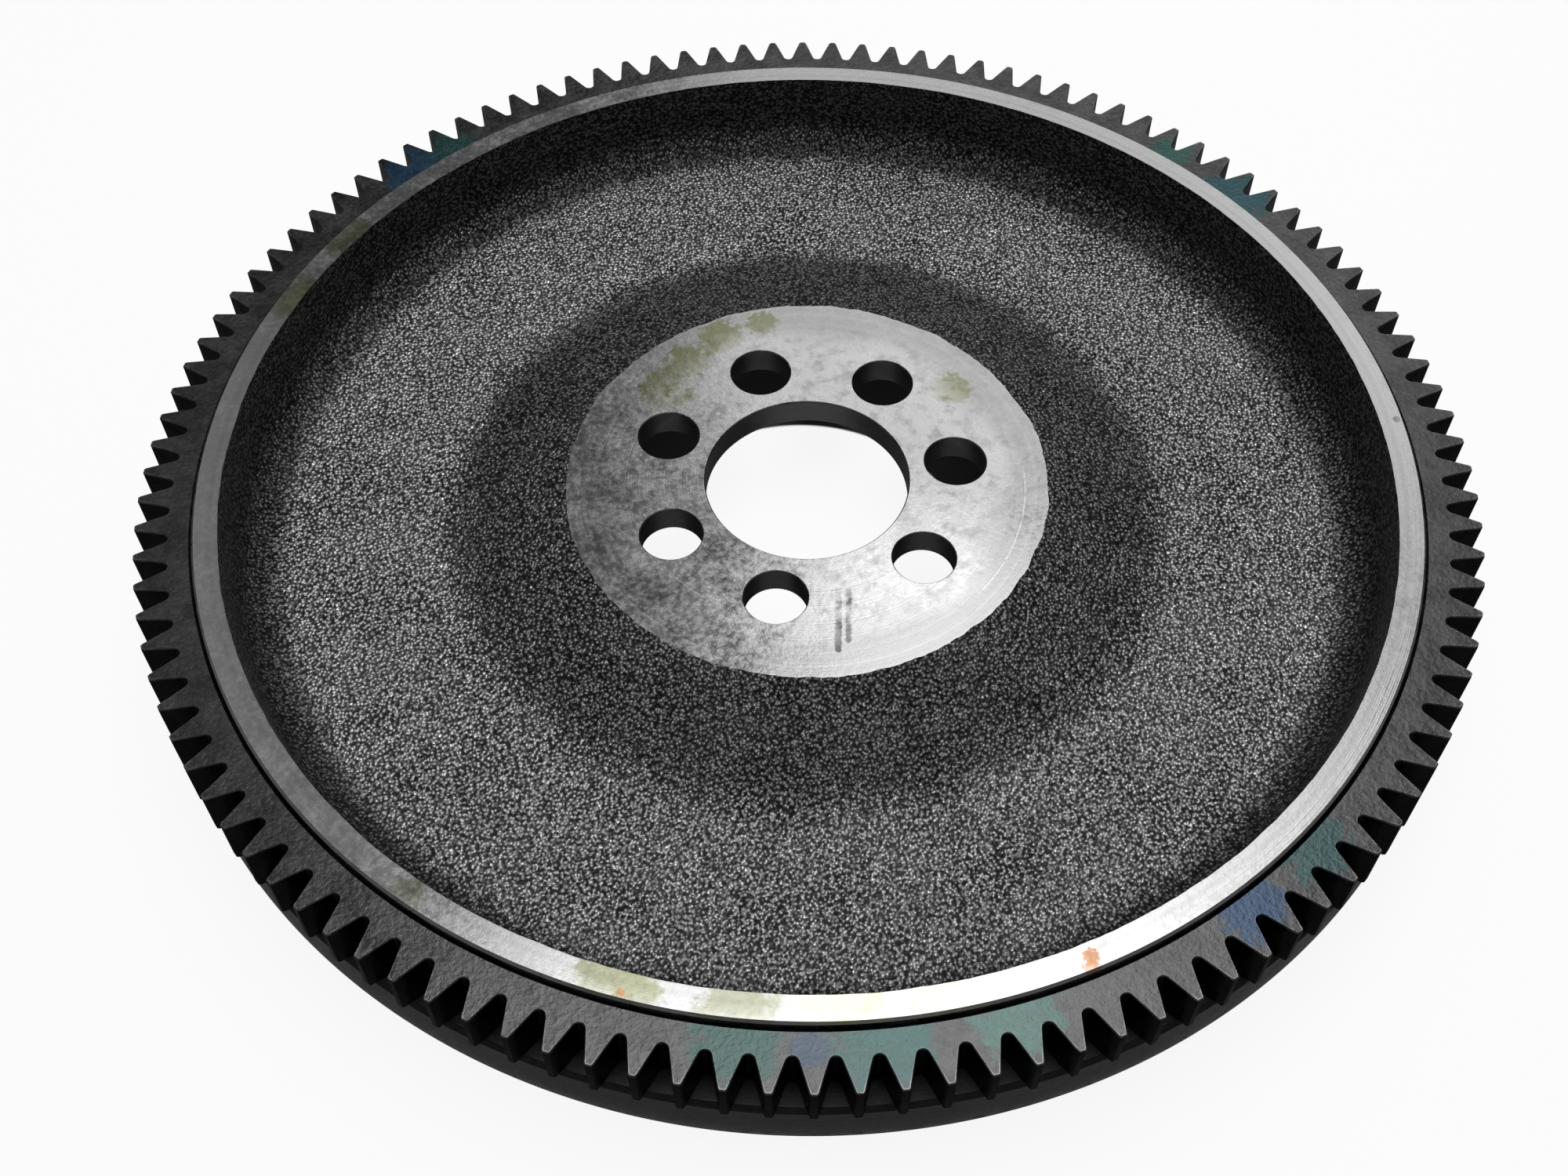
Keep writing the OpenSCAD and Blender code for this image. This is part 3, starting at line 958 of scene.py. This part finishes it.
def ringOfTeethTree():
    tree, given, result = newGroup("ringOfTeeth", "GeometryNodeTree", {
        "Geometry": ("NodeSocketGeometry", None), "Teeth": ("NodeSocketInt", 12),
        "First Tooth": (number, 0.0), "Weld": (number, 0.0),
    }, {"Geometry": "NodeSocketGeometry"})
    spots = addNode(tree, "GeometryNodePoints", {"Count": given["Teeth"]}).outputs[0]
    index = addNode(tree, "GeometryNodeInputIndex").outputs[0]
    step = maths(tree, "DIVIDE", fullTurn, given["Teeth"])
    turn = maths(tree, "ADD", maths(tree, "MULTIPLY", index, step), given["First Tooth"])
    spin = addNode(tree, "ShaderNodeCombineXYZ", {2: turn}).outputs[0]
    inputs = {"Points": spots, "Instance": given["Geometry"], "Rotation": spin}
    copies = addNode(tree, "GeometryNodeInstanceOnPoints", inputs).outputs[0]
    solid = addNode(tree, "GeometryNodeRealizeInstances", {"Geometry": copies}).outputs[0]
    inputs = {"Geometry": solid, "Distance": given["Weld"]}
    welded = addNode(tree, "GeometryNodeMergeByDistance", inputs).outputs[0]
    inputs = {"Geometry": welded, "Material": blackOxide}
    tree.links.new(addNode(tree, "GeometryNodeSetMaterial", inputs).outputs[0], result["Geometry"])
    return tree


starterRingGear = buildTooth()
gearMesh = growWith(starterRingGear, ringOfTeethTree(), {
    "Teeth": gearSize["teeth"], "First Tooth": math.radians(gearSize["firstTooth"]),
    "Weld": gearSize["weld"],
})
sharpen(gearMesh, 30)
print("ring gear grown:", len(gearMesh.polygons), "faces")


# Dowels that centre the clutch cover

dowelSize = dict(
    chamfer=0.8, groove=0.6, grooveDepth=0.25, standsOut=6, cornerRound=0.25, cornerSteps=4,
    turns=64,
)


def buildDowel(i):
    s = dowelSize
    shell = Shell()
    radius = dowelR
    spot = onCircle(coverR, dowelAngle(i))
    seat = dowelLow.z + s["standsOut"]
    corners = [
        (radius - s["chamfer"], dowelLow.z), (radius, dowelLow.z + s["chamfer"]),
        (radius, seat - s["groove"]), (radius - s["grooveDepth"], seat - s["groove"]),
        (radius - s["grooveDepth"], seat), (radius, seat),
        (radius, dowelHigh.z - s["chamfer"]), (radius - s["chamfer"], dowelHigh.z),
    ]
    flat = radius - 1.5 * s["chamfer"]  # a point on each end face, inside its chamfer
    route = [(flat, dowelLow.z), *corners, (flat, dowelHigh.z)]
    section = [route[0]]
    for k, corner in enumerate(corners, 1):
        if k in (1, 2, 7, 8):  # the corners of the chamfers are rounded
            size = s["cornerRound"], s["cornerSteps"]
            section += [tuple(p) for p in cornerArc(route[k - 1], corner, route[k + 1], *size)]
        else:
            section.append(corner)
    rings = [shell.ring(r, z, s["turns"], spot, rubbed=0.7 if n in (2, 3, 7, 8) else 0)
             for n, (r, z) in enumerate(section)]
    rings.reverse()  # from the top down, so that the skin faces outwards
    for a, b in zip(rings, rings[1:]):
        shell.join(a, b, 0)
    shell.close(rings[0], dowelHigh.z, 0, spot, up=True)
    shell.close(rings[-1], dowelLow.z, 0, spot)
    piece = shell.toObject(f"clutchDowel{i + 1}")
    piece.data.materials.append(groundSteel)
    sharpen(piece.data, 30)
    return piece


clutchDowels = [buildDowel(i) for i in range(bodySize["dowels"])]
print("dowels made:", len(clutchDowels))


# Pieces ride on the one body of the frame and stand for its nodes

pieces = [
    (flywheelBody, "flywheel_body", "cast_iron"), (starterRingGear, "ring_gear", "gear_steel"),
]
pieces += [(piece, f"clutch_dowel_{i + 1}", "dowel_steel") for i, piece in enumerate(clutchDowels)]
for piece, node, slot in pieces:
    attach(piece, "root")
    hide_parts(node)
print("pieces placed:", len(pieces))


# Floor, light and camera

studio = dict(
    floorWidth=6.0, floorDrop=0.2 * mm, floorTone=0.12, worldLight=0.10,
    floorGlow=0.905, floorGlowOnPart=0.12,  # what the camera sees, and what lights the part
    poolRadius=37.5 * mm, poolCentre=(-2 * mm, -2 * mm),  # painted pool of light under the bore
    shadeRadius=134 * mm, softEdge=0.8 * mm,  # painted shadow under the rest of the part
)


def buildFloor():
    half, drop = studio["floorWidth"] / 2, cadLow.z - studio["floorDrop"]
    mesh = bpy.data.meshes.new("studioFloor")
    corners = [(-half, -half, drop), (half, -half, drop), (half, half, drop), (-half, half, drop)]
    mesh.from_pydata(corners, [], [(0, 1, 2, 3)])
    floor = bpy.data.objects.new("studioFloor", mesh)
    bpy.context.scene.collection.objects.link(floor)
    material, tree, shader, place = startMaterial("paleFloor", 0.0)
    shader.inputs["Roughness"].default_value = 0.7
    shader.inputs["Base Color"].default_value = grey(studio["floorTone"])
    shader.inputs["Emission Color"].default_value = grey(1.0)
    pool, shade, soft = studio["poolRadius"], studio["shadeRadius"], studio["softEdge"]
    fromPool = vectorMaths(tree, "DISTANCE", place, (*studio["poolCentre"], drop), "Value")
    fromAxis = vectorMaths(tree, "DISTANCE", place, (0, 0, drop), "Value")
    # painted light and shadow: the floor glows in a pool under the bore and beyond the part, and
    # not between them
    inside = remap(tree, fromPool, pool, pool + soft, 1.0, 0.0)
    outside = remap(tree, fromAxis, shade, shade + 3 * soft)
    lit = maths(tree, "ADD", inside, outside)
    seen = addNode(tree, "ShaderNodeLightPath").outputs["Is Camera Ray"]
    glow = remap(tree, seen, 0.0, 1.0, studio["floorGlowOnPart"], studio["floorGlow"])
    tree.links.new(maths(tree, "MULTIPLY", glow, lit), shader.inputs["Emission Strength"])

    # clear from below, and to other rays under the part, so that its underside is lit
    unseen = maths(tree, "SUBTRACT", 1.0, seen)
    under = maths(tree, "MULTIPLY", unseen, maths(tree, "SUBTRACT", 1.0, outside))
    behind = addNode(tree, "ShaderNodeNewGeometry").outputs["Backfacing"]
    hidden = maths(tree, "MAXIMUM", behind, under)
    tree.links.new(maths(tree, "SUBTRACT", 1.0, hidden), shader.inputs["Alpha"])
    mesh.materials.append(material)


# azimuth from +X and elevation in degrees, distance, width and height in metres, watts
softboxes = {
    "keyFarRight": (49, 61.5, 1.0, 0.42, 0.34, 0.88),
    "skirtFarRight": (54, 40.5, 1.0, 0.66, 0.33, 0.62),
    "broadAbove": (55, 88, 1.0, 0.65, 0.66, 2.9),
    "fillFarLeft": (118, 50, 1.0, 0.5, 0.5, 0.12),
    "underFill": (-109, -60, 0.8, 0.9, 0.9, 1.2),
}


def buildLights():
    for name, (azimuth, elevation, distance, width, height, power) in softboxes.items():
        light = bpy.data.lights.new(name, "AREA")
        light.shape = "RECTANGLE"
        light.size = width
        light.size_y = height
        light.energy = power
        lamp = bpy.data.objects.new(name, light)
        a, e = math.radians(azimuth), math.radians(elevation)
        away = Vector((math.cos(a) * math.cos(e), math.sin(a) * math.cos(e), math.sin(e)))
        lamp.location = away * distance
        lamp.rotation_euler = away.to_track_quat("Z", "Y").to_euler()
        bpy.context.scene.collection.objects.link(lamp)
    world = bpy.data.worlds.new("studio")
    world.use_nodes = True
    back = world.node_tree.nodes["Background"]
    back.inputs["Color"].default_value = grey(1.0)
    back.inputs["Strength"].default_value = studio["worldLight"]
    bpy.context.scene.world = world


cameraPlace = dict(
    azimuth=-19.22, elevation=49.2, distance=392.5, aim=(-16.2, -33.2), lens=41.9, roll=-0.2,
)


def buildCamera():
    c = cameraPlace
    camera = bpy.data.cameras.new("studioCamera")
    camera.lens = c["lens"]
    camera.sensor_width = 36
    camera.clip_start = 0.01
    seat = bpy.data.objects.new("studioCamera", camera)
    a, e = math.radians(c["azimuth"]), math.radians(c["elevation"])
    away = Vector((math.sin(a) * math.cos(e), -math.cos(a) * math.cos(e), math.sin(e)))
    seat.location = (away * c["distance"] + Vector((0, 0, bodyHigh.z))) * mm
    aim = Vector((*c["aim"], bodyHigh.z)) * mm
    turn = (aim - seat.location).to_track_quat("-Z", "Y")
    seat.rotation_mode = "QUATERNION"
    seat.rotation_quaternion = turn @ Quaternion((0, 0, 1), math.radians(c["roll"]))
    bpy.context.scene.collection.objects.link(seat)
    bpy.context.scene.camera = seat


buildFloor()
buildLights()
buildCamera()
bpy.context.scene.view_settings.view_transform = "Standard"
print("studio ready")
